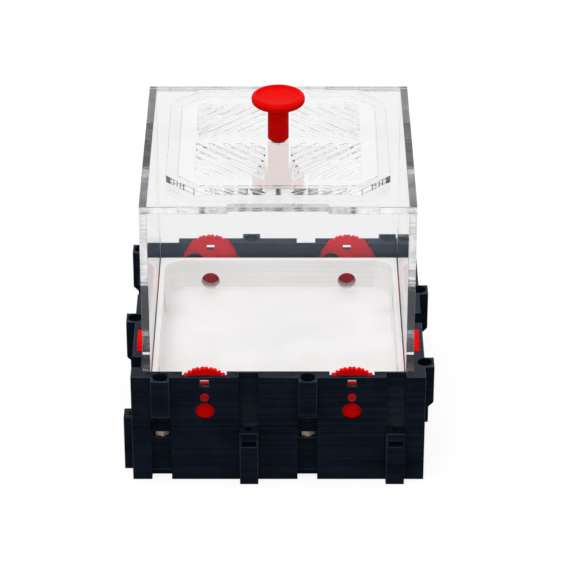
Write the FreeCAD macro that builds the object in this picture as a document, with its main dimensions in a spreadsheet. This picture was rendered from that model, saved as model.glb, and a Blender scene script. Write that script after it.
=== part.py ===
"""Ant habitat: a square printed frame with rotating gates, a tray, a clear box and a vented lid.

The origin is at the centre of the footprint, on the surface that the frame stands on. +Z is up
and the front is towards -Y. All sizes are in millimetres. The four sides of the frame are alike
and meet at mitred corners: each is the one before it, turned a quarter turn about Z.
"""
import FreeCAD, Part
import math
import operator
import os

import Sketcher
from FreeCAD import Placement, Rotation, Vector

os.makedirs("parts", exist_ok=True)
doc = FreeCAD.newDocument("ant_habitat")

SIZES = {
    # Frame
    "module_width": 120.0,
    "frame_height": 49.5,
    "wall": 4.8,
    "ledge_reach": 5.4,
    "ledge_thick": 3.0,
    # Connector lugs and the recesses that a neighbouring frame's lugs enter
    "lug_near": 12.0,
    "lug_far": 48.0,
    "lug_width": 7.6,
    "lug_reach": 3.8,
    "recess_width": 8.1,
    "recess_depth": 4.0,
    "screw_hole_radius": 1.6,
    "head_recess_radius": 3.1,
    "head_recess_depth": 6.2,
    # Captive nuts, their slots and the screws from below that they hold
    "thread_radius": 1.5,
    "thread_fit": 0.05,
    "nut_flats": 5.5,
    "nut_thick": 2.4,
    "nut_slot_cover": 3.95,
    "nut_top_fit": 0.2,
    "nut_side_fit": 0.15,
    "nut_corner_fit": 0.25,
    "nut_inset": 7.4,
    "boss_width": 11.0,
    "boss_wall": 2.0,
    "boss_cover": 1.75,
    "base_head_radius": 2.8,
    "base_head_sink": 0.2,
    "base_tip_short": 0.6,
    "cover_thick": 2.5,
    "cover_fit": 0.1,
    # Rotating gates in the walls
    "gate_web": 0.85,
    "gate_sill": 2.05,
    "gate_thick": 2.0,
    "gate_skin": 1.7,
    "gate_play": 0.2,
    "gate_pocket_fit": 0.7,
    "gate_scallops": 40,
    "scallop_width": 1.4,
    "scallop_depth": 0.35,
    "pin_radius": 1.8,
    "pin_stand": 0.5,
    "running_fit": 0.05,
    "hub_radius": 2.6,
    "port_radius": 4.0,
    "port_drop": 6.9,
    "window_rise": 6.6,
    "window_width": 3.5,
    "window_height": 2.9,
    # Clear box of five panes
    "slip_fit": 0.2,
    "box_height": 100.0,
    "pane": 3.0,
    "seat_gap": 0.1,
    "roof_tab": 40.0,
    # Tray
    "tray_rise": 18.85,
    "tray_sill": 0.2,
    "tray_floor_thick": 2.0,
    "tray_wall": 2.2,
    "tray_corner": 8.0,
    "tray_cove": 1.2,
    # Lid of two plates, with its vents
    "plug_width": 80.2,
    "plug_corner": 8.5,
    "plug_fit": 0.3,
    "lid_lip": 4.9,
    "vent_width": 1.2,
    "vent_slits": 9,
    "vent_inner": 5.3,
    "vent_outer": 33.5,
    # Knob and the cap screw that holds it
    "stem_radius": 4.3,
    "stem_height": 15.8,
    "knob_radius": 10.9,
    "knob_thick": 3.7,
    "knob_edge": 1.6,
    "knob_rim": 1.8,
    "knob_dish": 0.5,
    "stem_edge": 0.6,
    "cap_head_radius": 2.75,
    "cap_head_fit": 0.1,
    "cap_head_length": 3.0,
    "cap_socket_flats": 2.5,
    "cap_socket_depth": 1.3,
    "knob_screw_length": 12.0,
}

sheet = doc.addObject("Spreadsheet::Sheet", "dims")
for row, (size_name, size_value) in enumerate(SIZES.items(), start=1):
    sheet.set(f"A{row}", size_name)
    sheet.set(f"B{row}", str(size_value))
    sheet.setAlias(f"B{row}", size_name)
doc.recompute()

SIDES = ("front", "right", "back", "left")
QUARTER = 90.0
OVERRUN = 1.0
ROOT_TWO = math.sqrt(2.0)
ROOT_THREE = math.sqrt(3.0)
OPERATIONS = {"+": operator.add, "-": operator.sub, "*": operator.mul, "/": operator.truediv}


class Size:
    """A size with its number and the expression over the sheet that gives it."""

    def __init__(self, number, text):
        self.number = number
        self.text = text

    def __add__(self, other):
        return combine(self, other, "+")

    def __radd__(self, other):
        return combine(other, self, "+")

    def __sub__(self, other):
        return combine(self, other, "-")

    def __rsub__(self, other):
        return combine(other, self, "-")

    def __mul__(self, other):
        return combine(self, other, "*")

    def __rmul__(self, other):
        return combine(other, self, "*")

    def __truediv__(self, other):
        return combine(self, other, "/")

    def __neg__(self):
        return combine(-1.0, self, "*")


def as_size(value):
    """The value itself if it is a size, or a size that holds a plain number."""
    return value if isinstance(value, Size) else Size(float(value), repr(float(value)))


def combine(left, right, sign):
    """The size that an operation on two sizes gives."""
    first, second = as_size(left), as_size(right)
    number = OPERATIONS[sign](first.number, second.number)
    return Size(number, f"({first.text} {sign} {second.text})")


def size(name):
    """A size of the sheet by its name."""
    return Size(float(sheet.get(name)), f"dims.{name}")


def bind(thing, field, value):
    """Drive a property of an object by a size."""
    thing.setExpression(field, as_size(value).text)


# Levels and reaches that several pieces share
half_width = size("module_width") / 2
cavity = half_width - size("wall")
ledge_inner = cavity - size("ledge_reach")
recess_back = half_width - size("recess_depth")
ledge_top = size("frame_height") / 2

gate_offset = (size("lug_near") + size("lug_far")) / 2
gate_pocket = (size("lug_far") - size("lug_near") - size("recess_width")) / 2 - size("gate_web")
gate_radius = gate_pocket - size("gate_pocket_fit")
gate_height = ledge_top + size("gate_sill") + gate_pocket
port_height = gate_height - size("port_drop")

nut_corner = size("nut_flats") / ROOT_THREE
nut_axis = half_width - size("nut_inset")
half_slot = nut_corner + size("nut_corner_fit")
boss_back = nut_axis - half_slot - size("boss_wall")
slot_top = ledge_top - size("nut_slot_cover")
slot_height = size("nut_thick") + size("nut_top_fit")
slot_floor = slot_top - slot_height
thread_hole = size("thread_radius") + size("thread_fit")

box_half = cavity - size("slip_fit")
box_inner = box_half - size("pane")
box_bottom = ledge_top + size("seat_gap")
box_top = box_bottom + size("box_height")
roof_bottom = box_top - size("pane")
lid_bottom = box_top + size("seat_gap")
lid_top = lid_bottom + size("pane")


def new_body(label):
    """A body with its own label."""
    body = doc.addObject("PartDesign::Body", label)
    body.Label = label
    return body


def origin_part(body, role):
    """A plane or an axis of the body's own origin."""
    return next(item for item in body.Origin.OriginFeatures if item.Role == role)


def new_sketch(body, name, plane, offset=0.0):
    """A sketch on an origin plane of the body, moved along the plane's normal."""
    sketch = body.newObject("Sketcher::SketchObject", name)
    sketch.AttachmentSupport = [(origin_part(body, plane), "")]
    sketch.MapMode = "FlatFace"
    bind(sketch, "AttachmentOffset.Base.z", offset)
    return sketch


def pin_point(sketch, shape, end, x, y):
    """Hold one point of a sketch shape at its two distances from the sketch's origin."""
    for kind, value, axis in (("DistanceX", as_size(x), -2), ("DistanceY", as_size(y), -1)):
        if abs(value.number) < 1e-9:
            sketch.addConstraint(Sketcher.Constraint("PointOnObject", shape, end, axis))
            continue
        forward = value.number > 0
        ends = (-1, 1, shape, end) if forward else (shape, end, -1, 1)
        constraint = Sketcher.Constraint(kind, *ends, abs(value.number))
        index = sketch.addConstraint(constraint)
        bind(sketch, f"Constraints[{index}]", value if forward else -value)


def draw_polygon(sketch, corners):
    """A closed outline through corners, each a pair of sizes."""
    places = [Vector(as_size(x).number, as_size(y).number, 0) for x, y in corners]
    shapes = []
    for start, end in zip(places, places[1:] + places[:1]):
        shapes.append(sketch.addGeometry(Part.LineSegment(start, end), False))
    for index, shape in enumerate(shapes):
        following = shapes[(index + 1) % len(shapes)]
        sketch.addConstraint(Sketcher.Constraint("Coincident", shape, 2, following, 1))
    for shape, (x, y) in zip(shapes, corners):
        pin_point(sketch, shape, 1, x, y)


def draw_rectangle(sketch, left, bottom, right, top):
    """A rectangle by its four sides."""
    draw_polygon(sketch, [(left, bottom), (right, bottom), (right, top), (left, top)])


def draw_square(sketch, half):
    """A square about the sketch's origin."""
    draw_rectangle(sketch, -half, -half, half, half)


def draw_octagon(sketch, half, corner):
    """A square about the sketch's origin whose corners are cut off at 45 degrees."""
    short = half - corner
    draw_polygon(sketch, [(short, -half), (half, -short), (half, short), (short, half),
                          (-short, half), (-half, short), (-half, -short), (-short, -half)])


def draw_hexagon(sketch, flats):
    """A hexagon about the sketch's origin, by the distance across its flats."""
    angles = [math.radians(60 * corner) for corner in range(6)]
    reach = flats / ROOT_THREE
    draw_polygon(sketch, [(reach * math.cos(angle), reach * math.sin(angle)) for angle in angles])


def draw_circle(sketch, x, y, radius):
    """A circle by its centre and radius."""
    centre = Vector(as_size(x).number, as_size(y).number, 0)
    circle = Part.Circle(centre, Vector(0, 0, 1), radius.number)
    shape = sketch.addGeometry(circle, False)
    pin_point(sketch, shape, 3, x, y)
    index = sketch.addConstraint(Sketcher.Constraint("Radius", shape, radius.number))
    bind(sketch, f"Constraints[{index}]", radius)


def extrude(body, kind, name, sketch, length, symmetric=False, reverse=False):
    """A Pad or a Pocket of a sketch."""
    feature = body.newObject(f"PartDesign::{kind}", name)
    feature.Profile = sketch
    feature.SideType = "Symmetric" if symmetric else "One side"
    feature.Reversed = reverse
    bind(feature, "Length", length)
    return feature


def turn_pattern(body, name, features, axis, count):
    """Copies of features, spread evenly over a full turn about an origin axis."""
    pattern = body.newObject("PartDesign::PolarPattern", name)
    pattern.Originals = features
    pattern.Axis = (origin_part(body, axis), [""])
    pattern.Angle = 360.0
    bind(pattern, "Occurrences", count)
    body.Tip = pattern
    return pattern


def revolve(body, name, sketch, axis):
    """A full turn of a sketch about an origin axis."""
    feature = body.newObject("PartDesign::Revolution", name)
    feature.Profile = sketch
    feature.ReferenceAxis = (origin_part(body, axis), [""])
    feature.Angle = 360.0
    return feature


def edges_that(feature, test):
    """The names of a feature's edges that pass a test."""
    doc.recompute()
    found = enumerate(feature.Shape.Edges, start=1)
    return [f"Edge{number}" for number, edge in found if test(edge)]


def round_edges(body, name, feature, edges, radius):
    """A fillet on named edges of a feature."""
    fillet = body.newObject("PartDesign::Fillet", name)
    fillet.Base = (feature, edges)
    bind(fillet, "Radius", radius)
    body.Tip = fillet
    return fillet


def bevel_edges(body, name, feature, edges, reach):
    """A chamfer on named edges of a feature."""
    chamfer = body.newObject("PartDesign::Chamfer", name)
    chamfer.Base = (feature, edges)
    bind(chamfer, "Size", reach)
    body.Tip = chamfer
    return chamfer


def quarter_points(x, y):
    """A point of the front and the three like it on the other sides, in the order of SIDES."""
    return [(x, y), (-y, x), (-x, -y), (y, -x)]


def place(item, x, y, z, angle=0.0):
    """Put an object at three sizes, turned about Z by an angle in degrees."""
    item.Placement = Placement(Vector(0, 0, 0), Rotation(Vector(0, 0, 1), angle))
    for field, value in (("x", x), ("y", y), ("z", z)):
        bind(item, f"Placement.Base.{field}", value)


def draw_strip(sketch, outer, inner):
    """The plan of one side of a square ring, its ends cut off along the ring's diagonals."""
    draw_polygon(sketch, [(-outer, -outer), (outer, -outer), (inner, -inner), (-inner, -inner)])


def draw_blocks(sketch, places, half, near, far):
    """Rectangles of one half width, at places across the side and between two depths."""
    for across in places:
        draw_rectangle(sketch, across - half, near, across + half, far)


def add_upper_lug(body, name, across):
    """A lug at the top of the side, over a recess that is open below.

    Its underside and the roof of the recess are one slope of 45 degrees, which ends at the
    ledge's level at the back of the recess.
    """
    face = -half_width
    slope_start = ledge_top + size("recess_depth") + size("lug_reach")
    profile = new_sketch(body, f"{name}_profile", "YZ_Plane", across)
    draw_polygon(profile, [
        (face - size("lug_reach"), slope_start),
        (face - size("lug_reach"), size("frame_height")),
        (face + OVERRUN, size("frame_height")),
        (face + OVERRUN, ledge_top + size("recess_depth") - OVERRUN),
    ])
    extrude(body, "Pad", f"{name}_pad", profile, size("lug_width"), symmetric=True)
    outline = new_sketch(body, f"{name}_recess_outline", "YZ_Plane", across)
    draw_polygon(outline, [
        (-recess_back, -OVERRUN),
        (-recess_back, ledge_top),
        (face - OVERRUN, ledge_top + size("recess_depth") + OVERRUN),
        (face - OVERRUN, -OVERRUN),
    ])
    extrude(body, "Pocket", f"{name}_recess", outline, size("recess_width"), symmetric=True)


def drill(body, name, places, depth_in, radius, top, length):
    """Round holes down from a level, at places across the side and one depth."""
    circles = new_sketch(body, f"{name}_circles", "XY_Plane", top)
    for across in places:
        draw_circle(circles, across, depth_in, radius)
    return extrude(body, "Pocket", name, circles, length)


def add_nut_bosses(body, places):
    """Bosses inside the side, each with a slot for a nut and a hole for a screw from below."""
    outline = new_sketch(body, "boss_outlines", "XY_Plane")
    draw_blocks(outline, places, size("boss_width") / 2, -recess_back, -boss_back)
    extrude(body, "Pad", "bosses", outline, ledge_top)
    slots = new_sketch(body, "boss_slot_outlines", "XY_Plane", slot_top)
    draw_blocks(slots, places, half_slot, -recess_back - OVERRUN, -nut_axis + half_slot)
    extrude(body, "Pocket", "boss_slots", slots, slot_height)
    drill(body, "boss_holes", places, -nut_axis, size("screw_hole_radius"), slot_floor, slot_floor)


def add_lower_lugs(body, places):
    """Lugs on the lower half of the side, under recesses that are open above.

    The screw of a neighbour's upper lug comes down into a nut in each lug's slot.
    """
    face = -half_width
    recesses = new_sketch(body, "upper_recess_outlines", "XY_Plane", size("frame_height"))
    draw_blocks(recesses, places, size("recess_width") / 2, face - OVERRUN, -recess_back)
    extrude(body, "Pocket", "upper_recesses", recesses, size("frame_height") - ledge_top)
    lugs = new_sketch(body, "lower_lug_outlines", "XY_Plane")
    draw_blocks(lugs, places, size("lug_width") / 2, face - size("lug_reach"), face + OVERRUN)
    extrude(body, "Pad", "lower_lugs", lugs, ledge_top)
    slots = new_sketch(body, "lug_slot_outlines", "XY_Plane", slot_top)
    half_nut = size("nut_flats") / 2 + size("nut_side_fit")
    shoulder = face + half_slot - half_nut / ROOT_THREE
    for across in places:
        draw_polygon(slots, [
            (across - half_nut, face - size("lug_reach") - OVERRUN),
            (across + half_nut, face - size("lug_reach") - OVERRUN),
            (across + half_nut, shoulder),
            (across, face + half_slot),
            (across - half_nut, shoulder),
        ])
    extrude(body, "Pocket", "lug_slots", slots, slot_height)
    drill(body, "lower_lug_holes", places, face, size("screw_hole_radius"), ledge_top,
          size("nut_slot_cover"))


def draw_window(sketch, across, axle_height):
    """The small window above a gate's axle, which the wall and the gate both have."""
    middle = axle_height + size("window_rise")
    half_window = size("window_width") / 2
    draw_rectangle(sketch, across - half_window, middle - size("window_height") / 2,
                   across + half_window, middle + size("window_height") / 2)


def add_gate_seats(body, places):
    """Round pockets behind the side's skin, each with a pin hole, a port and a window."""
    circles = new_sketch(body, "gate_pocket_circles", "XZ_Plane", half_width - size("gate_skin"))
    openings = new_sketch(body, "gate_openings", "XZ_Plane", half_width)
    for across in places:
        draw_circle(circles, across, gate_height, gate_pocket)
        draw_circle(openings, across, gate_height, size("pin_radius") + size("running_fit"))
        draw_circle(openings, across, port_height, size("port_radius"))
        draw_window(openings, across, gate_height)
    extrude(body, "Pocket", "gate_pockets", circles, size("wall"))
    extrude(body, "Pocket", "gate_skin_openings", openings, size("wall"))


def build_frame_side():
    """One side of the printed frame: wall, ledge, bosses, lugs, recesses and gate pockets.

    The ledge makes room at one end for the boss of the next side.
    """
    body = new_body("frame_side")
    upper_places = (-size("lug_far"), size("lug_near"))
    lower_places = (-size("lug_near"), size("lug_far"))
    wall = new_sketch(body, "wall_outline", "XY_Plane")
    draw_strip(wall, half_width, cavity)
    extrude(body, "Pad", "wall", wall, size("frame_height"))
    shelf = new_sketch(body, "ledge_outline", "XY_Plane", ledge_top - size("ledge_thick"))
    draw_strip(shelf, cavity + size("wall") / 2, ledge_inner)
    extrude(body, "Pad", "ledge", shelf, size("ledge_thick"))
    room = new_sketch(body, "next_boss_outline", "XY_Plane", ledge_top)
    boss_start = -size("lug_far") - size("boss_width") / 2
    draw_rectangle(room, boss_back, boss_start, cavity, -boss_back)
    extrude(body, "Pocket", "next_boss_room", room, size("ledge_thick"))
    add_nut_bosses(body, upper_places)
    for word, across in zip(("far", "near"), upper_places):
        add_upper_lug(body, f"{word}_upper_lug", across)
    drill(body, "upper_lug_holes", upper_places, -half_width, size("screw_hole_radius"),
          size("frame_height"), size("frame_height") - ledge_top)
    drill(body, "head_recesses", upper_places, -half_width, size("head_recess_radius"),
          size("frame_height"), size("head_recess_depth"))
    add_lower_lugs(body, lower_places)
    add_gate_seats(body, (-gate_offset, gate_offset))
    rebate = new_sketch(body, "cover_rebate_outline", "XY_Plane", size("cover_thick"))
    draw_square(rebate, recess_back)
    body.Tip = extrude(body, "Pocket", "cover_rebate", rebate, size("cover_thick"))
    return body


def screw_places():
    """The axes of the screws from below, two on each side, with their side's turn."""
    places = []
    for across in (-size("lug_far"), size("lug_near")):
        for index, (x, y) in enumerate(quarter_points(across, -nut_axis)):
            places.append((x, y, QUARTER * index))
    return places


def build_bottom_cover():
    """The plate that closes the frame from below, with a countersunk hole for each screw."""
    body = new_body("bottom_cover")
    outline = new_sketch(body, "cover_outline", "XY_Plane")
    draw_square(outline, recess_back - size("cover_fit"))
    extrude(body, "Pad", "cover_plate", outline, size("cover_thick"))
    circles = new_sketch(body, "screw_circles", "XY_Plane")
    for x, y, _ in screw_places():
        draw_circle(circles, x, y, size("screw_hole_radius"))
    doc.recompute()
    holes = body.newObject("PartDesign::Hole", "screw_holes")
    holes.Profile = circles
    holes.Reversed = True
    holes.DepthType = "Dimension"
    bind(holes, "Depth", size("cover_thick"))
    bind(holes, "Diameter", size("screw_hole_radius") * 2)
    holes.HoleCutType = "Countersink"
    holes.HoleCutCustomValues = True
    bind(holes, "HoleCutDiameter", size("base_head_radius") * 2 + size("base_head_sink") * 2)
    holes.HoleCutCountersinkAngle = 90.0
    body.Tip = holes
    return body


def build_base_screw():
    """One countersunk screw, its head down and its axis on Z."""
    body = new_body("base_screw")
    thread = size("thread_radius")
    head = size("base_head_radius")
    profile = new_sketch(body, "screw_profile", "XZ_Plane")
    tip = slot_top - size("base_head_sink") - size("base_tip_short")
    draw_polygon(profile, [(0, 0), (head, 0), (thread, head - thread), (thread, tip), (0, tip)])
    revolve(body, "screw_turn", profile, "Z_Axis")
    return body


def build_nut():
    """One hexagon nut that stands on the plane of its origin, its axis on Z."""
    body = new_body("captive_nut")
    outline = new_sketch(body, "nut_outline", "XY_Plane")
    draw_hexagon(outline, size("nut_flats"))
    draw_circle(outline, 0, 0, thread_hole)
    extrude(body, "Pad", "nut_block", outline, size("nut_thick"))
    return body


def build_copies(label, master, places):
    """A piece made of copies of a master, each put at its three sizes and turned about Z."""
    copies = []
    for x, y, z, angle in places:
        copy = doc.addObject("App::Link", f"{label}_copy")
        copy.LinkedObject = master
        copy.LinkTransform = True
        place(copy, x, y, z, angle)
        copies.append(copy)
    group = doc.addObject("Part::Compound", label)
    group.Label = label
    group.Links = copies
    return group


def build_set(label, master, level, turns):
    """Copies of one fastener at the axes of the screws from below, as separate solids."""
    places = [(x, y, level, angle + turn) for (x, y, angle), turn in zip(screw_places(), turns)]
    return build_copies(label, master, places)


def build_tray():
    """The inner tray: a basin with round corners over a skirt that stands on the ledge."""
    body = new_body("tray")
    outer = box_inner - size("slip_fit")
    inner = outer - size("tray_wall")
    floor_top = port_height - size("port_radius") - size("tray_sill")
    rim = ledge_top + size("tray_rise")
    block = new_sketch(body, "tray_outline", "XY_Plane", ledge_top)
    draw_square(block, outer)
    extrude(body, "Pad", "tray_block", block, size("tray_rise"))
    base = new_sketch(body, "skirt_outline", "XY_Plane", floor_top - size("tray_floor_thick"))
    draw_square(base, inner)
    extrude(body, "Pocket", "skirt_hollow", base, floor_top - size("tray_floor_thick") - ledge_top)
    mouth = new_sketch(body, "basin_outline", "XY_Plane", rim)
    draw_square(mouth, inner)
    basin = extrude(body, "Pocket", "basin", mouth, rim - floor_top)
    corners = edges_that(basin, lambda edge: in_basin(edge, inner, floor_top, rim))
    rounded = round_edges(body, "basin_corners", basin, corners, size("tray_corner"))
    floor_edges = edges_that(rounded, lambda edge: on_floor(edge, inner, floor_top))
    bevel_edges(body, "basin_cove", rounded, floor_edges, size("tray_cove"))
    for plane in ("XZ_Plane", "YZ_Plane"):
        circles = new_sketch(body, f"port_circles_{plane[:2].lower()}", plane)
        for across in (-gate_offset, gate_offset):
            draw_circle(circles, across, port_height, size("port_radius"))
        ports = extrude(body, "Pocket", f"ports_{plane[:2].lower()}", circles, outer * 3,
                        symmetric=True)
    body.Tip = ports
    return body


def in_basin(edge, inner, low, high):
    """Whether an edge is one of the upright corners of the tray's basin."""
    box = edge.BoundBox
    at_corner = abs(abs(box.XMin) - inner.number) < 1e-6 and abs(abs(box.YMin) - inner.number) < 1e-6
    return at_corner and abs(box.ZMin - low.number) < 1e-6 and abs(box.ZMax - high.number) < 1e-6


def on_floor(edge, inner, level):
    """Whether an edge lies round the floor of the tray's basin."""
    box = edge.BoundBox
    flat = abs(box.ZMin - level.number) < 1e-6 and abs(box.ZMax - level.number) < 1e-6
    within = max(abs(box.XMin), abs(box.XMax), abs(box.YMin), abs(box.YMax)) < inner.number + 1e-6
    return flat and within


def build_wall_pane(side, keeps_corners):
    """A wall of the clear box, drawn as the front one and turned to its side.

    Its upright edges step at the thirds of the height. Two facing walls keep the corners in the
    lowest and highest third, the other two in the middle one. A tab reaches up into the roof.
    """
    body = new_body(f"{side}_pane")
    third = (roof_bottom - box_bottom) / 3
    low_step, high_step = box_bottom + third, box_bottom + third * 2
    ends, middle = (box_half, box_inner) if keeps_corners else (box_inner, box_half)
    half_tab = size("roof_tab") / 2
    right_edge = [(ends, box_bottom), (ends, low_step), (middle, low_step), (middle, high_step),
                  (ends, high_step), (ends, roof_bottom), (half_tab, roof_bottom),
                  (half_tab, box_top)]
    left_edge = [(-x, z) for x, z in reversed(right_edge)]
    outline = new_sketch(body, f"{side}_pane_outline", "XZ_Plane", box_inner)
    draw_polygon(outline, right_edge + left_edge)
    for across in (-gate_offset, gate_offset):
        draw_circle(outline, across, port_height, size("port_radius"))
    extrude(body, "Pad", f"{side}_pane_sheet", outline, size("pane"))
    place(body, 0, 0, 0, QUARTER * SIDES.index(side))
    return body


def build_roof_pane():
    """The roof of the clear box, notched for the walls' tabs, with the opening of the lid."""
    body = new_body("roof_pane")
    half_tab = size("roof_tab") / 2
    outline = new_sketch(body, "roof_outline", "XY_Plane", roof_bottom)
    front_edge = [(-box_half, -box_half), (-half_tab, -box_half), (-half_tab, -box_inner),
                  (half_tab, -box_inner), (half_tab, -box_half)]
    corners = []
    for index in range(len(SIDES)):
        corners += [quarter_points(x, y)[index] for x, y in front_edge]
    draw_polygon(outline, corners)
    draw_octagon(outline, size("plug_width") / 2 + size("plug_fit"),
                 grown_corner(size("plug_fit")))
    extrude(body, "Pad", "roof_sheet", outline, size("pane"))
    return body


def grown_corner(margin):
    """The corner cut of the plug's outline once each of its sides has moved out by a margin."""
    return size("plug_corner") + margin * (2 - ROOT_TWO)


def vent_slits():
    """The outlines of the slits in one square patch of vents, cut off at the patch's border.

    The slits run across the patch's diagonal. The gap from the last slit to the corner is seven
    eighths of a pitch.
    """
    inner, outer = size("vent_inner"), size("vent_outer")
    count = int(size("vent_slits").number)
    pitch = (outer - inner) * 2 / (count + 0.75)
    spread = size("vent_width") * ROOT_TWO / 2
    outlines = []
    for number in range(count):
        step = number - (count - 1) / 2
        low = inner + outer + pitch * step - spread
        high = inner + outer + pitch * step + spread
        if step < 0:
            outlines.append([(inner, low - inner), (inner, high - inner),
                             (high - inner, inner), (low - inner, inner)])
        elif step > 0:
            outlines.append([(low - outer, outer), (high - outer, outer),
                             (outer, high - outer), (outer, low - outer)])
        else:
            outlines.append([(inner, low - inner), (inner, outer), (high - outer, outer),
                             (outer, high - outer), (outer, inner), (low - inner, inner)])
    return outlines


def build_vented_plate(label, margin, bottom, hole_radius):
    """One plate of the lid, larger than the plug by a margin, with vents and a screw hole."""
    body = new_body(label)
    outline = new_sketch(body, f"{label}_outline", "XY_Plane", bottom)
    draw_octagon(outline, size("plug_width") / 2 + margin, grown_corner(margin))
    draw_circle(outline, 0, 0, hole_radius)
    extrude(body, "Pad", f"{label}_sheet", outline, size("pane"))
    slits = new_sketch(body, f"{label}_slit_outlines", "XY_Plane", bottom + size("pane"))
    for corners in vent_slits():
        draw_polygon(slits, corners)
    vents = extrude(body, "Pocket", f"{label}_slits", slits, size("pane"))
    turn_pattern(body, f"{label}_vents", [vents], "Z_Axis", len(SIDES))
    return body


def build_knob():
    """The mushroom knob of the lid, with a blind hole for its screw.

    The edge of its head is rounded in two steps, whose corners lie on the round.
    """
    body = new_body("knob")
    top = size("stem_height") + size("knob_thick")
    rim = size("knob_radius") - size("knob_rim")
    dish = size("knob_dish")
    hole_top = size("knob_screw_length") - size("pane") + OVERRUN / 2
    stem, head = size("stem_radius"), size("knob_radius")
    under, edge, root = size("stem_height"), size("knob_edge"), size("stem_edge")
    middle = edge * (1 - 1 / ROOT_TWO)
    profile = new_sketch(body, "knob_profile", "XZ_Plane")
    draw_polygon(profile, [
        (0, hole_top), (thread_hole, hole_top), (thread_hole, 0), (stem, 0),
        (stem, under - root), (stem + root, under),
        (head - edge, under), (head - middle, under + middle), (head, under + edge),
        (head, top - edge), (head - middle, top - middle), (head - edge, top),
        (rim, top), (rim - dish, top - dish), (0, top - dish),
    ])
    revolve(body, "knob_turn", profile, "Z_Axis")
    place(body, 0, 0, lid_top)
    return body


def build_knob_screw():
    """The cap screw that holds the knob: its head lies in the lower plate of the lid."""
    body = new_body("knob_screw")
    thread, head = size("thread_radius"), size("cap_head_radius")
    low = -size("cap_head_length")
    profile = new_sketch(body, "cap_screw_profile", "XZ_Plane")
    draw_polygon(profile, [(0, low), (head, low), (head, 0), (thread, 0),
                           (thread, size("knob_screw_length")), (0, size("knob_screw_length"))])
    revolve(body, "cap_screw_turn", profile, "Z_Axis")
    socket = new_sketch(body, "cap_socket_outline", "XY_Plane", low)
    draw_hexagon(socket, size("cap_socket_flats"))
    body.Tip = extrude(body, "Pocket", "cap_socket", socket, size("cap_socket_depth"),
                       reverse=True)
    place(body, 0, 0, lid_bottom)
    return body


def build_gate():
    """A gate: a disc with a scalloped rim, a port, a window and a pin through the wall.

    It is drawn about its own axle, which lies on Y, with the wall's outer face at Y = 0.
    """
    body = new_body("gate")
    front = size("gate_skin") + size("gate_play")
    rear = front + size("gate_thick")
    hub_end = size("wall")
    pin = size("pin_radius")
    profile = new_sketch(body, "gate_profile", "XY_Plane")
    draw_polygon(profile, [
        (0, -size("pin_stand")), (pin, -size("pin_stand")), (pin, front), (gate_radius, front),
        (gate_radius, rear), (size("hub_radius"), rear), (size("hub_radius"), hub_end), (0, hub_end),
    ])
    revolve(body, "gate_turn", profile, "Y_Axis")
    outline = new_sketch(body, "gate_opening_outlines", "XZ_Plane")
    draw_circle(outline, size("port_drop"), 0, size("port_radius"))
    draw_window(outline, 0, 0)
    extrude(body, "Pocket", "gate_openings", outline, size("wall"))
    notch = new_sketch(body, "scallop_outline", "XZ_Plane")
    floor, mouth = gate_radius - size("scallop_depth"), gate_radius + size("scallop_depth")
    draw_polygon(notch, [(0, -floor), (-size("scallop_width"), -mouth),
                         (size("scallop_width"), -mouth)])
    scallop = extrude(body, "Pocket", "scallop", notch, size("wall"))
    turn_pattern(body, "scalloped_rim", [scallop], "Y_Axis", size("gate_scallops"))
    return body


def gate_place(side, across):
    """Where a gate's axle meets the outer face of its side, with the side's turn."""
    index = SIDES.index(side)
    x, y = quarter_points(across, -half_width)[index]
    return x, y, gate_height, QUARTER * index


def check_document():
    """Stop if any object of the document has failed."""
    failed = [item.Label for item in doc.Objects if {"Invalid", "Error"} & set(item.State)]
    if failed:
        raise RuntimeError(f"objects that failed: {failed}")


def export(pieces):
    """Check each piece's shape, then write one file for each piece."""
    for piece in pieces:
        if piece.Shape.isNull() or not piece.Shape.isValid():
            raise RuntimeError(f"piece without a valid shape: {piece.Label}")
    for piece in pieces:
        piece.Shape.exportStep(f"parts/{piece.Label}.step")


GATE_HANDS = {"front": ("left", "right"), "right": ("front", "back"),
              "back": ("right", "left"), "left": ("back", "front")}
NUT_TURNS = (10.0, 14.0, 3.0, 22.0, 8.0, 17.0, 27.0, 5.0)

pieces = []
frame_side = build_frame_side()
for index, side in enumerate(SIDES):
    pieces.append(build_copies(f"frame_{side}", frame_side, [(0, 0, 0, QUARTER * index)]))
pieces.append(build_bottom_cover())
pieces.append(build_set("base_screws", build_base_screw(), size("base_head_sink"),
                        [0.0] * len(NUT_TURNS)))
pieces.append(build_set("captive_nuts", build_nut(), slot_floor, NUT_TURNS))
pieces.append(build_tray())
for side in SIDES:
    pieces.append(build_wall_pane(side, keeps_corners=side in ("left", "right")))
pieces.append(build_roof_pane())
pieces.append(build_vented_plate("lid_plate", size("lid_lip"), lid_bottom,
                                 size("screw_hole_radius")))
pieces.append(build_vented_plate("lid_plug", as_size(0), lid_bottom - size("pane"),
                                 size("cap_head_radius") + size("cap_head_fit")))
pieces.append(build_knob())
pieces.append(build_knob_screw())
gate = build_gate()
for side in SIDES:
    for hand, across in zip(GATE_HANDS[side], (-gate_offset, gate_offset)):
        pieces.append(build_copies(f"gate_{side}_{hand}", gate, [gate_place(side, across)]))

doc.recompute()
check_document()
export(pieces)
for piece in pieces:
    box = piece.Shape.BoundBox
    print(f"{piece.Label}: {len(piece.Shape.Solids)} solid(s), {piece.Shape.Volume:.1f} mm3, "
          f"x {box.XMin:.2f} {box.XMax:.2f}, y {box.YMin:.2f} {box.YMax:.2f}, "
          f"z {box.ZMin:.2f} {box.ZMax:.2f}")
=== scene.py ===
"""Ant habitat in its studio: a printed frame with gates, a tray, a clear box and a vented lid.

All sizes are in metres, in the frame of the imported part: +Z is up and the front is towards -Y.
"""

import logging
import math
from collections.abc import Iterable, Sequence
from dataclasses import dataclass, field
from enum import Enum

import bmesh
import bpy
from mathutils import Matrix, Vector


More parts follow.
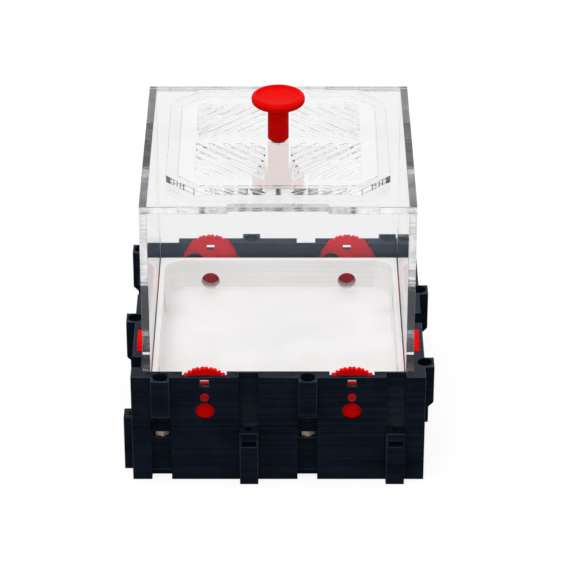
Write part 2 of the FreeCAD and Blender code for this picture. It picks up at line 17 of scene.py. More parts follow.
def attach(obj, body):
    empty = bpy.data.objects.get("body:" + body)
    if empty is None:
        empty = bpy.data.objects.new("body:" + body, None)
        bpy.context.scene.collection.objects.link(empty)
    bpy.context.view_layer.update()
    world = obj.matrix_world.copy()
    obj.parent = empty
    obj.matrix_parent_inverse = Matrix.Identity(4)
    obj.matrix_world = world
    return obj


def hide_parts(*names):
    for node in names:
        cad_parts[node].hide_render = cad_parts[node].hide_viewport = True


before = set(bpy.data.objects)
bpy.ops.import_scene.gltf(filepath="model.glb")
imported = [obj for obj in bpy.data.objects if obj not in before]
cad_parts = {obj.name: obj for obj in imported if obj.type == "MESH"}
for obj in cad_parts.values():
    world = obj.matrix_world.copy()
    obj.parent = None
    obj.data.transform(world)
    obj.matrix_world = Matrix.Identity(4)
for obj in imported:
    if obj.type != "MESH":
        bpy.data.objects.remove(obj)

LOG = logging.getLogger("ant_habitat")
MM = 0.001
SIDES = ("front", "right", "back", "left")
GATES = ("front_left", "front_right", "right_front", "right_back",
         "back_right", "back_left", "left_back", "left_front")
ACRYLIC_IOR = 1.49
WAVE_RATE = 20.0  # a wave texture's phase for each metre, at a scale of 1
SAME_PLACE = 0.001 * MM
Colour = tuple[float, float, float]
Span = tuple[float, float]


class Axis(Enum):
    """An axis of the object, by its place in a vector."""

    X = 0
    Y = 1
    Z = 2


class Slot(Enum):
    """The record's material slots."""

    BLACK = "black_print"
    RED = "red_print"
    WHITE = "white_print"
    ACRYLIC = "clear_acrylic"
    BRASS = "brass"
    STEEL = "steel"


def linear(red: float, green: float, blue: float) -> Colour:
    """A colour given on the 0 to 255 screen scale, as light by the sRGB rule.

    Args:
        red: The red channel.
        green: The green channel.
        blue: The blue channel.

    Returns:
        The same colour as shaders take it.
    """
    def channel(value: float) -> float:
        """One channel as light."""
        part = value / 255
        return part / 12.92 if part <= 0.04045 else ((part + 0.055) / 1.055) ** 2.4
    return channel(red), channel(green), channel(blue)


class Graph:
    """A material's nodes, with short calls to add and join them."""

    def __init__(self, owner: bpy.types.Material | bpy.types.World) -> None:
        """Start with no nodes.

        Args:
            owner: The material or world that the nodes belong to.
        """
        owner.use_nodes = True
        self.owner = owner
        self.tree = owner.node_tree
        self.tree.nodes.clear()

    @classmethod
    def of_material(cls, name: str) -> "Graph":
        """A graph of a new material.

        Args:
            name: The material's name.

        Returns:
            The empty graph.
        """
        return cls(bpy.data.materials.new(name))

    def add(self, kind: str, inputs: dict[str | int, object] | None = None,
            **settings: object) -> bpy.types.Node:
        """Add a node.

        Args:
            kind: The node's type.
            inputs: For each socket, by name or place, a value or the output that feeds it.
            settings: Values of the node's own properties.

        Returns:
            The new node.
        """
        node = self.tree.nodes.new(kind)
        for name, value in settings.items():
            setattr(node, name, value)
        for key, value in (inputs or {}).items():
            if isinstance(value, bpy.types.NodeSocket):
                self.tree.links.new(value, node.inputs[key])
            else:
                node.inputs[key].default_value = value
        return node

    def place(self) -> bpy.types.NodeSocket:
        """The point of the surface, in the object's own frame."""
        return self.add("ShaderNodeTexCoord").outputs["Object"]

    def scaled(self, scale: Sequence[float], at: Sequence[float] = (0, 0, 0),
               turn: Sequence[float] = (0, 0, 0)) -> bpy.types.NodeSocket:
        """The surface point after a scale, for patterns that are stretched.

        Args:
            scale: The factor along each axis.
            at: A shift after the scale.
            turn: A turn about each axis.

        Returns:
            The scaled point.
        """
        mapping = self.add("ShaderNodeMapping", {"Vector": self.place(), "Scale": scale,
                                                 "Location": at, "Rotation": turn})
        return mapping.outputs["Vector"]

    def noise(self, vector: bpy.types.NodeSocket, detail: float = 2.0,
              rough: float = 0.5, scale: float = 1.0) -> bpy.types.NodeSocket:
        """A noise value over a point.

        Args:
            vector: The point.
            detail: The number of finer layers.
            rough: How strong the finer layers are.
            scale: The noise's own scale.

        Returns:
            A value around one half.
        """
        node = self.add("ShaderNodeTexNoise", {"Vector": vector, "Scale": scale, "Detail": detail,
                                               "Roughness": rough})
        return node.outputs["Fac"]

    def remap(self, value: bpy.types.NodeSocket, low: float, high: float, start: float,
              end: float) -> bpy.types.NodeSocket:
        """Map a value's range to another, held at its ends.

        Args:
            value: The value.
            low: Where the value's range starts.
            high: Where it ends.
            start: The result at the start.
            end: The result at the end.

        Returns:
            The mapped value.
        """
        node = self.add("ShaderNodeMapRange", {"Value": value, "From Min": low, "From Max": high,
                                               "To Min": start, "To Max": end})
        return node.outputs["Result"]

    def blend(self, factor: bpy.types.NodeSocket | float, first: object,
              second: object) -> bpy.types.NodeSocket:
        """Mix two colours.

        Args:
            factor: The share of the second.
            first: A colour or an output.
            second: A colour or an output.

        Returns:
            The mixed colour.
        """
        def whole(colour: object) -> object:
            """A plain colour with its alpha."""
            return (*colour, 1.0) if isinstance(colour, tuple) else colour
        node = self.add("ShaderNodeMix", {0: factor, 6: whole(first), 7: whole(second)},
                        data_type="RGBA")
        return node.outputs[2]

    def sum_up(self, operation: str, first: object, second: object = 0.0) -> bpy.types.NodeSocket:
        """A sum on two values.

        Args:
            operation: The name of the operation.
            first: A value or an output.
            second: A value or an output.

        Returns:
            The result.
        """
        return self.add("ShaderNodeMath", {0: first, 1: second},
                        operation=operation).outputs["Value"]

    def bump(self, height: bpy.types.NodeSocket, strength: float,
             distance: float) -> bpy.types.NodeSocket:
        """A bumped normal.

        Args:
            height: The relief, from 0 to 1.
            strength: How much of it shows.
            distance: The height that 1 stands for.

        Returns:
            The normal.
        """
        node = self.add("ShaderNodeBump", {"Height": height, "Strength": strength,
                                           "Distance": distance})
        return node.outputs["Normal"]

    def close(self, shader: bpy.types.NodeSocket) -> bpy.types.Material:
        """Join the last shader to the output.

        Args:
            shader: The surface's shader.

        Returns:
            The finished material.
        """
        self.add("ShaderNodeOutputMaterial", {"Surface": shader})
        return self.owner


@dataclass(frozen=True)
class PrintedPlastic:
    """Plastic laid down in thin level layers."""

    name: str
    colour: Colour
    shade: Colour
    roughness: float
    specular: float
    gleam: Colour = (1.0, 1.0, 1.0)
    relief: float = 0.35
    layer: float = 0.3 * MM
    line_rate: float = 12.0
    lines_per_layer: float = 0.35
    line_share: float = 0.7
    blotch_rate: float = 90.0
    tones: Span = (0.38, 0.62)
    ridge_share: float = 0.5
    ridge_height: float = 0.04 * MM
    sheen_change: float = 0.06

    def material(self) -> bpy.types.Material:
        """The finish as a material.

        Returns:
            The new material.
        """
        graph = Graph.of_material(self.name)
        rates = (self.line_rate, self.line_rate, self.lines_per_layer / self.layer)
        lines = graph.noise(graph.scaled(rates), detail=3, rough=0.6)
        blotches = graph.noise(graph.scaled((self.blotch_rate,) * 3), detail=3)
        tone = graph.sum_up("ADD", graph.sum_up("MULTIPLY", lines, self.line_share),
                            graph.sum_up("MULTIPLY", blotches, 1.0 - self.line_share))
        colour = graph.blend(graph.remap(tone, *self.tones, 1.0, 0.0), self.colour, self.shade)
        wave = {"Vector": graph.place(), "Scale": math.tau / WAVE_RATE / self.layer,
                "Distortion": 0.0}
        ridges = graph.add("ShaderNodeTexWave", wave, bands_direction="Z").outputs["Fac"]
        height = graph.sum_up("ADD", graph.sum_up("MULTIPLY", ridges, self.ridge_share), lines)
        sheen = graph.remap(blotches, 0.3, 0.7, self.roughness - self.sheen_change,
                            self.roughness + self.sheen_change)
        shader = graph.add("ShaderNodeBsdfPrincipled", {
            "Base Color": colour, "Roughness": sheen, "Specular IOR Level": self.specular,
            "Specular Tint": (*self.gleam, 1.0),
            "Normal": graph.bump(height, self.relief, self.ridge_height)})
        return graph.close(shader.outputs["BSDF"])


def let_lamps_through(graph: Graph, shader: bpy.types.NodeSocket,
                      passed: Colour = (0.99, 0.992, 0.995)) -> bpy.types.NodeSocket:
    """Let light from the lamps and from matt surfaces pass straight through a clear sheet.

    Args:
        graph: The sheet's graph.
        shader: The sheet's shader.
        passed: The share of the light that passes each face.

    Returns:
        The shader with the passage.
    """
    clear = graph.add("ShaderNodeBsdfTransparent", {"Color": (*passed, 1.0)})
    ray = graph.add("ShaderNodeLightPath").outputs
    passing = graph.sum_up("MAXIMUM", ray["Is Shadow Ray"], ray["Is Diffuse Ray"])
    mix = graph.add("ShaderNodeMixShader", {0: passing, 1: shader, 2: clear.outputs["BSDF"]})
    return mix.outputs["Shader"]


@dataclass(frozen=True)
class PolishedAcrylic:
    """The clear faces of a sheet, with a faint haze of wiping marks."""

    name: str
    tint: Colour
    mirrored: Colour = (0.4, 0.48, 0.62)
    haze_rate: float = 40.0
    haze_loss: float = 0.01
    haze_roughness: float = 0.02

    def material(self) -> bpy.types.Material:
        """The finish as a material.

        Returns:
            The new material.
        """
        graph = Graph.of_material(self.name)
        haze = graph.noise(graph.scaled((self.haze_rate,) * 3), detail=3)
        wiped = tuple(part * (1.0 - self.haze_loss) for part in self.tint)
        glass = graph.add("ShaderNodeBsdfPrincipled", {
            "IOR": ACRYLIC_IOR, "Transmission Weight": 1.0,
            "Specular Tint": (*self.mirrored, 1.0),
            "Base Color": graph.blend(haze, self.tint, wiped),
            "Roughness": graph.remap(haze, 0.4, 0.7, 0.0, self.haze_roughness)})
        return graph.close(let_lamps_through(graph, glass.outputs["BSDF"]))


@dataclass(frozen=True)
class CutAcrylic:
    """The narrow edges of a sheet, where a laser has left fine marks through its thickness. The
    marks' relief is real; their dark slate-blue and brown colour is painted reflection and glints,
    more of it on faces that look upwards.
    """

    name: str
    thickness: Axis
    pitch: float
    # How much painted reflection the marks carry, and how much more on faces that look upwards.
    marks: float = 1.0
    painted_reflection_above: float = 0.0
    frost: float = 0.2
    roughness: float = 0.12
    relief: float = 1.0
    relief_depth: float = 0.1 * MM
    tint: Colour = (0.97, 0.98, 0.99)
    # The painted reflection's colours on the marks: cold slate-blue and warm brown.
    cold_painted_reflection: Colour = (0.07, 0.12, 0.19)
    warm_painted_reflection: Colour = (0.24, 0.22, 0.21)
    rate_through: float = 60.0
    cluster_share: float = 0.15
    patch_share: float = 0.04
    facing_up: Span = (0.5, 0.6)

    def material(self) -> bpy.types.Material:
        """The finish as a material.

        Returns:
            The new material.
        """
        graph = Graph.of_material(self.name)
        fine = self.along_edge(graph, 1.0, 2.0)
        cluster = self.along_edge(graph, self.cluster_share, 1.0)
        patch = self.along_edge(graph, self.patch_share, 0.0)
        # The share of painted reflection, following the laser marks in clusters.
        mark = graph.sum_up("MULTIPLY", graph.remap(fine, 0.45, 0.56, 0.0, self.marks),
                            graph.remap(cluster, 0.4, 0.6, 0.1, 1.0))
        normal = graph.add("ShaderNodeTexCoord").outputs["Normal"]
        upward = graph.add("ShaderNodeSeparateXYZ", {"Vector": normal}).outputs["Z"]
        # Faces that look upwards get more painted reflection.
        above = graph.sum_up("MULTIPLY",
                             graph.remap(upward, *self.facing_up, 0.0, self.painted_reflection_above),
                             graph.remap(fine, 0.4, 0.6, 0.7, 1.15))
        mark = graph.sum_up("MINIMUM", graph.sum_up("ADD", mark, above), 1.0)
        # The painted reflection's colour, cold or warm by patches.
        painted_reflection = graph.blend(graph.remap(patch, 0.45, 0.6, 0.0, 1.0), self.cold_painted_reflection, self.warm_painted_reflection)
        edge = graph.add("ShaderNodeBsdfPrincipled", {
            "IOR": ACRYLIC_IOR, "Transmission Weight": 1.0 - self.frost,
            "Roughness": self.roughness, "Base Color": graph.blend(mark, self.tint, painted_reflection),
            "Normal": graph.bump(graph.sum_up("ADD", fine, cluster), self.relief,
                                 self.relief_depth)})
        return graph.close(let_lamps_through(graph, edge.outputs["BSDF"]))

    def along_edge(self, graph: Graph, share: float, detail: float) -> bpy.types.NodeSocket:
        """A noise that changes along an edge and hardly through the sheet.

        Args:
            graph: The material's graph.
            share: The noise's rate as a share of the marks' own.
            detail: The number of finer layers.

        Returns:
            A value around one half.
        """
        scale = [share / self.pitch] * 3
        scale[self.thickness.value] = self.rate_through
        return graph.noise(graph.scaled(scale), detail=detail, rough=0.7)


@dataclass(frozen=True)
class TurnedMetal:
    """Machined metal with fine marks round the axis and some tarnish."""

    name: str
    colour: Colour
    tarnish: Colour
    roughness: float
    metallic: float = 1.0
    mark_rates: tuple[float, float, float] = (800.0, 800.0, 6000.0)
    stain_rate: float = 500.0
    roughness_change: float = 0.18
    relief: float = 0.3
    relief_depth: float = 0.02 * MM

    def material(self) -> bpy.types.Material:
        """The finish as a material.

        Returns:
            The new material.
        """
        graph = Graph.of_material(self.name)
        marks = graph.noise(graph.scaled(self.mark_rates), detail=2)
        stains = graph.noise(graph.scaled((self.stain_rate,) * 3), detail=4, rough=0.6)
        shader = graph.add("ShaderNodeBsdfPrincipled", {
            "Metallic": self.metallic,
            "Base Color": graph.blend(graph.remap(stains, 0.4, 0.7, 0.0, 1.0), self.colour,
                                      self.tarnish),
            "Roughness": graph.remap(marks, 0.3, 0.7, self.roughness,
                                     self.roughness + self.roughness_change),
            "Normal": graph.bump(marks, self.relief, self.relief_depth)})
        return graph.close(shader.outputs["BSDF"])


@dataclass(frozen=True)
class StudioWhite:
    """The pale floor: it takes a soft shadow and is white where it is lit."""

    name: str
    diffuse: float = 0.16
    lift: float = 0.85
    reflected: float = 0.05
    mottle_rate: float = 3.0
    mottle: float = 1.03

    def material(self) -> bpy.types.Material:
        """The finish as a material.

        Returns:
            The new material.
        """
        graph = Graph.of_material(self.name)
        patches = graph.noise(graph.scaled((self.mottle_rate,) * 3), detail=2)
        colour = graph.blend(patches, (self.diffuse,) * 3, (self.diffuse * self.mottle,) * 3)
        matt = graph.add("ShaderNodeBsdfDiffuse", {"Color": colour})
        ray = graph.add("ShaderNodeLightPath").outputs
        seen = graph.sum_up("MAXIMUM", ray["Is Camera Ray"], ray["Is Transmission Ray"])
        mirrored = graph.sum_up("MULTIPLY", ray["Is Glossy Ray"], self.reflected)
        seen = graph.sum_up("MAXIMUM", seen, mirrored)
        glow = graph.add("ShaderNodeEmission", {
            "Color": (1.0, 1.0, 1.0, 1.0), "Strength": graph.sum_up("MULTIPLY", seen, self.lift)})
        shader = graph.add("ShaderNodeAddShader", {0: matt.outputs["BSDF"],
                                                   1: glow.outputs["Emission"]})
        return graph.close(shader.outputs["Shader"])


@dataclass(frozen=True)
class Edging:
    """How a piece's long outer edges are softened."""

    width: float
    segments: int = 2
    angle: float = 28.0
    # A material for the softened faces; on the frame it is a lighter black, a painted highlight
    # where the edges catch light.
    finish: PrintedPlastic | None = None
    room: float = 2.2

    def mark(self, solid: bmesh.types.BMesh) -> None:
        """Weigh the outer edges that have room for the softening at both ends.

        Args:
            solid: The piece's mesh.
        """
        weights = solid.edges.layers.float.new("bevel_weight_edge")
        reach = self.room * self.width
        for edge in solid.edges:
            outer = len(edge.link_faces) == 2 and edge.is_convex
            if outer and edge.calc_face_angle() > math.radians(self.angle):
                near = (other for corner in edge.verts for other in corner.link_edges)
                edge[weights] = float(all(other.calc_length() > reach for other in near))

    def apply(self, piece: bpy.types.Object) -> None:
        """Soften the weighed edges by a modifier.

        Args:
            piece: The piece.
        """
        soft = piece.modifiers.new("edges", "BEVEL")
        soft.width = self.width
        soft.segments = self.segments
        soft.limit_method = "WEIGHT"
        soft.use_clamp_overlap = False
        soft.harden_normals = True
        # The softened faces take the extra material; on the frame its lighter colour is a painted
        # highlight.
        if self.finish is not None:
            piece.data.materials.append(self.finish.material())
            soft.material = len(piece.data.materials) - 1


def solid_of(nodes: Iterable[str], same: float = 0.002 * MM) -> bmesh.types.BMesh:
    """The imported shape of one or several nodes.

    Args:
        nodes: The names of the nodes.
        same: Corners nearer than this become one.

    Returns:
        A mesh with shared corners.
    """
    solid = bmesh.new()
    for node in nodes:
        solid.from_mesh(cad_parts[node].data)
    bmesh.ops.remove_doubles(solid, verts=solid.verts, dist=same)
    return solid


def flatten(solid: bmesh.types.BMesh, angle: float = 0.6) -> None:
    """Join neighbouring faces that lie in one plane.

    Args:
        solid: The mesh.
        angle: The most that two faces of a plane may differ, in degrees.
    """
    bmesh.ops.dissolve_limit(solid, angle_limit=math.radians(angle), verts=solid.verts,
                             edges=solid.edges)


def drop_corner_joints(solid: bmesh.types.BMesh, near: float = 0.01 * MM, skew: float = 1e-3,
                       same: float = 0.005 * MM) -> None:
    """Take out the faces where the frame's sides meet at their mitres.

    Args:
        solid: The frame's four sides in one mesh.
        near: How far from the diagonal such a face's centre may lie.
        skew: How far its normal may lean from the diagonal.
        same: Corners nearer than this become one.
    """
    inside = []
    for face in solid.faces:
        centre, normal = face.calc_center_median(), face.normal
        on_diagonal = abs(abs(centre.x) - abs(centre.y)) < near
        along = abs(abs(normal.x) - abs(normal.y)) < skew and abs(normal.z) < skew
        if on_diagonal and along:
            inside.append(face)
    bmesh.ops.delete(solid, geom=inside, context="FACES_ONLY")
    bmesh.ops.remove_doubles(solid, verts=solid.verts, dist=same)


def draw_in(solid: bmesh.types.BMesh, depth: float, alike: float = 0.9) -> None:
    """Move every face of a mesh inwards, so that it stands clear of its neighbours.

    Args:
        solid: The mesh.
        depth: How far each face moves.
        alike: From which cosine two normals at a corner count as one.
    """
    moves = {}
    for corner in solid.verts:
        ways: list[Vector] = []
        for face in corner.link_faces:
            if all(face.normal.dot(way) < alike for way in ways):
                ways.append(face.normal.copy())
        moves[corner] = sum(ways, Vector())
    for corner, move in moves.items():
        corner.co -= move * depth


def arc(centre: tuple[float, float], radius: float, start: float, end: float,
        steps: int = 8) -> list[tuple[float, float]]:
    """Points of a round corner in a profile.

    Args:
        centre: The centre, as radius and height.
        radius: The corner's radius.
        start: The first angle in degrees, from the outward direction to upwards.
        end: The last angle in degrees.
        steps: The number of parts.

    Returns:
        The points, as radius and height.
    """
    angles = (math.radians(start + (end - start) * step / steps) for step in range(steps + 1))
    return [(centre[0] + radius * math.cos(angle), centre[1] + radius * math.sin(angle))
            for angle in angles]


def turned(profile: Sequence[tuple[float, float]], steps: int = 96) -> bmesh.types.BMesh:
    """Spin a profile about the upright axis.

    Args:
        profile: Its points, as radius and height in millimetres.
        steps: The number of parts round the axis.

    Returns:
        The mesh.
    """
    solid = bmesh.new()
    corners = [solid.verts.new((radius * MM, 0.0, height * MM)) for radius, height in profile]
    for first, second in zip(corners, corners[1:]):
        solid.edges.new((first, second))
    bmesh.ops.spin(solid, geom=solid.verts[:] + solid.edges[:], cent=(0, 0, 0), axis=(0, 0, 1),
                   angle=math.tau, steps=steps, use_merge=True)
    bmesh.ops.remove_doubles(solid, verts=solid.verts, dist=SAME_PLACE)
    bmesh.ops.recalc_face_normals(solid, faces=solid.faces)
    return solid


def thread(low: float, high: float, crest: float, root: float,
           pitch: float) -> list[tuple[float, float]]:
    """The zigzag of a thread's ridges in a profile, from its low end up.

    Args:
        low: Where it starts.
        high: Where it ends.
        crest: The radius of the ridges.
        root: The radius of the grooves.
        pitch: The distance from ridge to ridge.

    Returns:
        The points, as radius and height.
    """
    count = int((high - low) / pitch)
    points = []
    for turn in range(count):
        points += [(crest, low + turn * pitch), (root, low + (turn + 0.5) * pitch)]
    return points


def rim_at(solid: bmesh.types.BMesh, height: float) -> list[bmesh.types.BMEdge]:
    """The open edges of a mesh that lie at a height.

    Args:
        solid: The mesh.
        height: The height in millimetres.

    Returns:
        The edges.
    """
    return [edge for edge in solid.edges if edge.is_boundary
            and all(abs(corner.co.z - height * MM) < SAME_PLACE for corner in edge.verts)]


def add_socket(solid: bmesh.types.BMesh, flats: float, face: float, floor: float) -> None:
    """Sink a hexagon socket into the open end of a turned piece.

    Args:
        solid: The piece, open at the face.
        flats: The hexagon's width.
        face: The height of the face.
        floor: The height of the socket's floor.
    """
    cap = bmesh.ops.create_circle(solid, cap_ends=True, segments=6,
                                  radius=flats * MM / math.sqrt(3),
                                  matrix=Matrix.Translation((0, 0, floor * MM)))
    border = [edge for edge in solid.edges if all(corner in cap["verts"] for corner in edge.verts)]
    walls = bmesh.ops.extrude_edge_only(solid, edges=border)["geom"]
    moved = [item for item in walls if isinstance(item, bmesh.types.BMVert)]
    bmesh.ops.translate(solid, verts=moved, vec=(0, 0, (face - floor) * MM))
    bmesh.ops.bridge_loops(solid, edges=rim_at(solid, face))
    bmesh.ops.recalc_face_normals(solid, faces=solid.faces)


def set_at(solid: bmesh.types.BMesh, places: Iterable[Matrix]) -> bmesh.types.BMesh:
    """Copies of a mesh in one mesh.

    Args:
        solid: The mesh, which is used up.
        places: Where each copy goes.

    Returns:
        The mesh with all copies.
    """
    single = bpy.data.meshes.new("single")
    solid.to_mesh(single)
    solid.free()
    copies = bmesh.new()
    for place in places:
        before = len(copies.verts)
        copies.from_mesh(single)
        copies.verts.ensure_lookup_table()
        bmesh.ops.transform(copies, matrix=place, verts=copies.verts[before:])
    bpy.data.meshes.remove(single)
    return copies


def finished(solid: bmesh.types.BMesh, name: str, body: str,
             materials: Sequence[bpy.types.Material], nodes: Iterable[str],
             edging: Edging | None = None, sharp: float = 30.0) -> bpy.types.Object:
    """Turn a mesh into a piece of the scene that rides on a body.

    Args:
        solid: The mesh, which is used up.
        name: The piece's name.
        body: The body that it rides on.
        materials: Its finishes, in the order of its faces' numbers.
        nodes: The nodes that it stands for.
        edging: How its edges are softened.
        sharp: From which angle between faces an edge stays sharp, in degrees.

    Returns:
        The piece.
    """
    if edging is not None:
        edging.mark(solid)
    mesh = bpy.data.meshes.new(name)
    solid.to_mesh(mesh)
    solid.free()
    mesh.polygons.foreach_set("use_smooth", [True] * len(mesh.polygons))
    mesh.set_sharp_from_angle(angle=math.radians(sharp))
    for material in materials:
        mesh.materials.append(material)
    piece = bpy.data.objects.new(name, mesh)
    bpy.context.scene.collection.objects.link(piece)
    if edging is not None:
        edging.apply(piece)
    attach(piece, body)
    names = list(nodes)
    if names:
        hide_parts(*names)
    LOG.info("%s rides on %s, %d faces", name, body, len(mesh.polygons))
    return piece


@dataclass
class PrintedFrame:
    """The black frame and its bottom cover."""

    finish: PrintedPlastic
    # The softened edges get a lighter, slightly glossier black: the lighter colour is a painted
    # highlight.
    painted_highlight_finish: PrintedPlastic
    edge_width: float = 0.3 * MM

    def build(self) -> None:
        """Build the frame as one print, and its cover."""
        material = self.finish.material()
        edging = Edging(self.edge_width, finish=self.painted_highlight_finish)
        nodes = [f"frame_{side}" for side in SIDES]
        solid = solid_of(nodes)
        drop_corner_joints(solid)
        flatten(solid)
        finished(solid, "printed_frame", "base", [material], nodes, edging)
        cover = solid_of(["bottom_cover"])
        flatten(cover)
        finished(cover, "printed_cover", "base", [material], ["bottom_cover"], edging)


@dataclass
class Gates:
    """The eight red gates."""

    finish: PrintedPlastic
    pin_finish: PrintedPlastic
    wall_face: float = 60.05 * MM
    axle_height: float = 39.9 * MM
    axle_across: float = 30.0 * MM
    notch_from: float = 12.03 * MM
    notch_to: float = 11.55 * MM
    notch_band: float = 0.02 * MM
    edging: Edging = field(default_factory=lambda: Edging(0.14 * MM))

    def build(self) -> None:
        """Build every gate on its own body."""
        materials = [self.finish.material(), self.pin_finish.material()]
        for gate in GATES:
            solid = solid_of([f"gate_{gate}"])
            self.deepen_notches(solid)
            flatten(solid)
            for face in solid.faces:
                centre = face.calc_center_median()
                face.material_index = int(max(abs(centre.x), abs(centre.y)) > self.wall_face)
            finished(solid, f"printed_gate_{gate}", f"gate_{gate}", materials,
                     [f"gate_{gate}"], self.edging)

    def deepen_notches(self, solid: bmesh.types.BMesh) -> None:
        """Draw the floors of the rim's notches towards the axle.

        Args:
            solid: A gate's mesh.
        """
        for corner in solid.verts:
            place = corner.co
            facing_x = abs(place.x) > abs(place.y)
            across = place.y if facing_x else place.x
            middle = math.copysign(self.axle_across, across)
            radius = math.hypot(across - middle, place.z - self.axle_height)
            if abs(radius - self.notch_from) < self.notch_band:
                share = self.notch_to / radius
                place.z = self.axle_height + (place.z - self.axle_height) * share
                place[int(facing_x)] = middle + (across - middle) * share


@dataclass
class Tray:
    """The white tray."""

    finish: PrintedPlastic
    edging: Edging = field(default_factory=lambda: Edging(0.35 * MM, segments=3))

    def build(self) -> None:
        """Build the tray."""
        solid = solid_of(["tray"])
        flatten(solid)
        finished(solid, "printed_tray", "base", [self.finish.material()], ["tray"],
                 self.edging)


@dataclass
class Sheet:
    """A clear sheet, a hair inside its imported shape, so that two never share a face.

    Its faces are polished, its rim is cut, and what is cut within the reach of the vents from the
    middle has a finish of its own.
    """

    node: str
    body: str
    cut: CutAcrylic
    vents: CutAcrylic | None = None
    vent_reach: float = 37.0 * MM
    tint: Colour = (0.92, 0.922, 0.925)
    gap: float = 0.015 * MM
    edging: Edging = field(default_factory=lambda: Edging(0.12 * MM))

    def build(self) -> None:
        """Build the sheet."""
        solid = solid_of([self.node])
        draw_in(solid, self.gap)
        flatten(solid)
        finishes = [PolishedAcrylic(f"polished {self.node}", self.tint), self.cut]
        for face in solid.faces:
            face.material_index = int(abs(face.normal[self.cut.thickness.value]) < 0.5)
        if self.vents is not None:
            finishes.append(self.vents)
            for face in solid.faces:
                centre = face.calc_center_median()
                if face.material_index and max(abs(centre.x), abs(centre.y)) < self.vent_reach:
                    face.material_index = 2
        finished(solid, f"acrylic_{self.node}", self.body,
                 [finish.material() for finish in finishes], [self.node], self.edging)


@dataclass
class ClearBox:
    """The five clear panes, with a pitch of the marks on their edges for each cut."""

    front_pitch: float = 0.9 * MM
    side_pitch: float = 1.3 * MM
    roof_pitch: float = 0.7 * MM
    # The side panes' painted reflection colours on their cut edges.
    side_cold_reflection: Colour = (0.012, 0.035, 0.06)
    side_warm_reflection: Colour = (0.07, 0.065, 0.06)

    def build(self) -> None:
        """Build the panes."""
        for name in ("front", "back"):
            Sheet(f"{name}_pane", "cover",
                  CutAcrylic(f"cut edge of {name}", Axis.Y, self.front_pitch, marks=0.3,
                             frost=0.5, roughness=0.4)).build()
        for name in ("left", "right"):
            Sheet(f"{name}_pane", "cover",
                  CutAcrylic(f"cut edge of {name}", Axis.X, self.side_pitch, marks=0.6,
                             painted_reflection_above=1.0, frost=0.02, cold_painted_reflection=self.side_cold_reflection,
                             warm_painted_reflection=self.side_warm_reflection)).build()
        Sheet("roof_pane", "cover",
              CutAcrylic("cut edge of roof", Axis.Z, self.roof_pitch, marks=0.3, frost=0.05,
                         relief=0.5)).build()


@dataclass
class Lid:
    """The two vented plates of the lid with their knob and its screw, in millimetres."""

    knob_finish: PrintedPlastic
    screw_finish: TurnedMetal
    top: float = 127.95
    stem_radius: float = 4.3
    stem_height: float = 15.8
    head_radius: float = 10.9
    head_thick: float = 3.7
    head_round: float = 1.6
    bore_depth: float = 9.5
    bore_fit: float = 0.05
    foot_bevel: float = 0.25
    neck_round: float = 0.6
    dish: float = 0.8
    dish_rim: float = 0.2
    dish_run: float = 0.45
    dish_foot: float = 0.13
    dish_bevel: Span = (0.1, 0.06)
    screw_radius: float = 1.5
    screw_head: float = 2.86
    screw_low: float = 121.95
    head_high: float = 124.93
    screw_high: float = 136.95
    thread_pitch: float = 0.5
    thread_depth: float = 0.26
    thread_end: float = 0.4
    head_bevel: float = 0.3
    neck: float = 0.2
    socket_ring: float = 0.9
    socket_flats: float = 2.5
    socket_depth: float = 1.3
    plate_tint: Colour = (0.975, 0.977, 0.98)
    plate_pitch: float = 0.9 * MM

    def build(self) -> None:
        """Build the plates, the knob and the screw."""
        for name in ("lid_plate", "lid_plug"):
            Sheet(name, "lid",
                  CutAcrylic(f"cut edge of {name}", Axis.Z, self.plate_pitch, marks=0.08,
                             frost=0.04, roughness=0.05, relief=0.15),
                  CutAcrylic(f"slits of {name}", Axis.Z, self.plate_pitch, marks=0.0, frost=0.0,
                             roughness=0.02, relief=0.05, tint=(1.0, 1.0, 1.0)),
                  tint=self.plate_tint).build()
        self.build_knob()
        self.build_screw()

    def build_knob(self) -> None:
        """Build the knob: a stem, a round edge and a shallow dish within a rim."""
        low, under = self.top, self.top + self.stem_height
        high = under + self.head_thick
        edge, foot, neck = self.head_round, self.foot_bevel, self.neck_round
        bore, bore_top = self.screw_radius + self.bore_fit, low + self.bore_depth
        inner = self.head_radius - edge
        slope, floor = inner - self.dish_rim, high - self.dish
        across, down = self.dish_bevel
        profile = [(0, bore_top), (bore, bore_top), (bore, low), (self.stem_radius - foot, low),
                   (self.stem_radius, low + foot),
                   *arc((self.stem_radius + neck, under - neck), neck, 180, 90, 6),
                   *arc((inner, under + edge), edge, -90, 0),
                   *arc((inner, high - edge), edge, 0, 90),
                   (slope, high), (slope - across, high - down),
                   (slope - self.dish_run + self.dish_foot, floor + down),
                   (slope - self.dish_run, floor), (0, floor)]
        finished(turned(profile, 128), "printed_knob", "lid",
                 [self.knob_finish.material()], ["knob"], sharp=50.0)

    def build_screw(self) -> None:
        """Build the cap screw, whose head hangs under the knob with its socket down."""
        low, head, radius = self.screw_low, self.screw_head, self.screw_radius
        bevel, end = self.head_bevel, self.thread_end
        profile = [(head - self.socket_ring, low), (head - bevel, low), (head, low + bevel),
                   (head, self.head_high), (radius - self.neck, self.head_high),
                   *thread(self.head_high + end, self.screw_high - end, radius,
                           radius - self.thread_depth, self.thread_pitch),
                   (radius - end, self.screw_high), (0, self.screw_high)]
        solid = turned(profile, 48)
        add_socket(solid, self.socket_flats, low, low + self.socket_depth)
        finished(solid, "steel_knob_screw", "lid", [self.screw_finish.material()],
                 ["knob_screw"])


